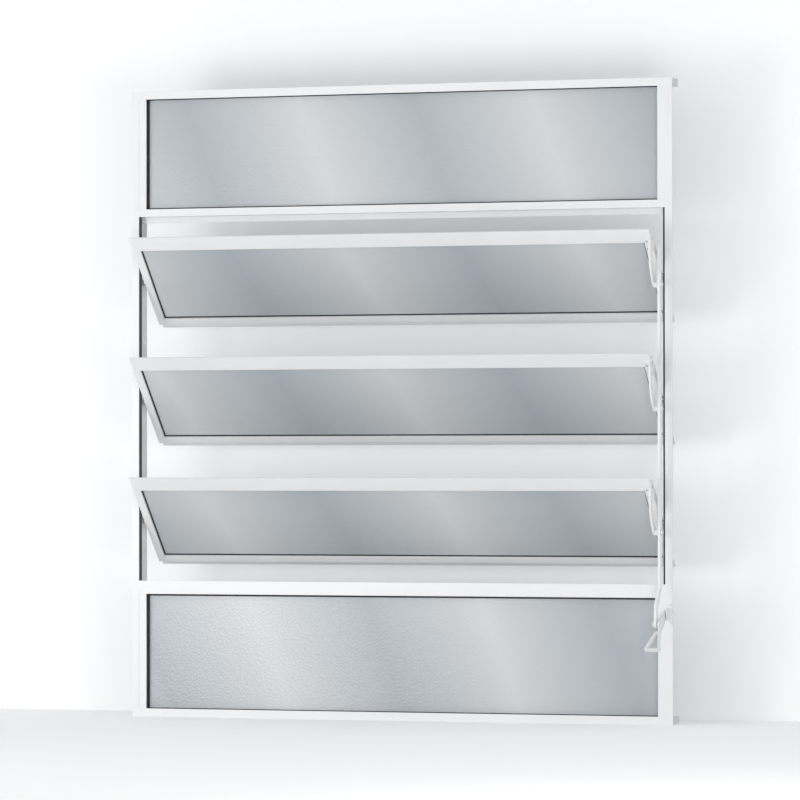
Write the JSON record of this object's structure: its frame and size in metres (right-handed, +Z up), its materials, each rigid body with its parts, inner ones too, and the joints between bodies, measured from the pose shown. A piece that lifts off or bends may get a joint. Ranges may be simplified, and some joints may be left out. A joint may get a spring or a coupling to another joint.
{
  "type": "pivot window",
  "caption": "White aluminium pivot window: fixed panes above and below linked tilting sashes worked by a control rod and a lever.",
  "frame": {"origin": "under the middle of the sill, on its underside, in the plane of the back faces of the jambs' lap flanges", "axes": "+X to the right seen from the room, +Y outdoors, +Z up"},
  "size_m": [0.9007, 0.1599, 1],
  "materials": {
    "frame_white": "white powder coat",
    "glass": "fine-textured clear glass",
    "rubber": "black glazing gasket",
    "nylon": "nylon bush",
    "steel": "plain pin",
    "handle": "white moulded handle"
  },
  "bodies": {
    "root": {"sill": "frame_white", "head": "frame_white", "left_jamb": "frame_white", "right_jamb": "frame_white", "upper_transom": "frame_white", "lower_transom": "frame_white", "top_left_bead": "frame_white", "top_right_bead": "frame_white", "bottom_left_bead": "frame_white", "bottom_right_bead": "frame_white", "top_glass": "glass", "top_gasket": "rubber", "bottom_glass": "glass", "bottom_gasket": "rubber", "left_side_seal": "rubber", "right_side_seal": "rubber", "left_bushes": "nylon", "right_bushes": "nylon", "lever_bracket": "frame_white"},
    "sash_1": {"sash_1_top_rail": "frame_white", "sash_1_bottom_rail": "frame_white", "sash_1_left_stile": "frame_white", "sash_1_right_stile": "frame_white", "sash_1_glass": "glass", "sash_1_gasket": "rubber", "sash_1_pivots": "steel", "sash_1_arm": "frame_white"},
    "sash_2": {"sash_2_top_rail": "frame_white", "sash_2_bottom_rail": "frame_white", "sash_2_left_stile": "frame_white", "sash_2_right_stile": "frame_white", "sash_2_glass": "glass", "sash_2_gasket": "rubber", "sash_2_pivots": "steel", "sash_2_arm": "frame_white"},
    "sash_3": {"sash_3_top_rail": "frame_white", "sash_3_bottom_rail": "frame_white", "sash_3_left_stile": "frame_white", "sash_3_right_stile": "frame_white", "sash_3_glass": "glass", "sash_3_gasket": "rubber", "sash_3_pivots": "steel", "sash_3_arm": "frame_white"},
    "control_rod": {"control_rod": "frame_white"},
    "lever": {"lever": "handle"}
  },
  "joints": [
    {"name": "sash_1_pivot", "type": "hinge", "parent": "root", "child": "sash_1", "pos_m": [0, 0.01, 0.69367], "axis": [1, 0, 0], "range_deg": [-43.5, 28.5]},
    {"name": "sash_2_pivot", "type": "hinge", "parent": "root", "child": "sash_2", "pos_m": [0, 0.01, 0.503], "axis": [1, 0, 0], "range_deg": [-43.5, 28.5]},
    {"name": "sash_3_pivot", "type": "hinge", "parent": "root", "child": "sash_3", "pos_m": [0, 0.01, 0.31233], "axis": [1, 0, 0], "range_deg": [-43.5, 28.5]},
    {"name": "rod_pin", "type": "hinge", "parent": "sash_1", "child": "control_rod", "pos_m": [0.436, -0.024, 0.67867], "axis": [1, 0, 0], "range_deg": [-28.5, 43.5]},
    {"name": "lever_pivot", "type": "hinge", "parent": "root", "child": "lever", "pos_m": [0.4415, -0.012, 0.172], "axis": [1, 0, 0], "range_deg": [-43.5, 28.5]}
  ],
  "couplings": [
    {"joint": "sash_2_pivot", "follows": "sash_1_pivot", "ratio": 1},
    {"joint": "sash_3_pivot", "follows": "sash_1_pivot", "ratio": 1},
    {"joint": "rod_pin", "follows": "sash_1_pivot", "ratio": -1},
    {"joint": "lever_pivot", "follows": "sash_1_pivot", "ratio": 1}
  ]
}
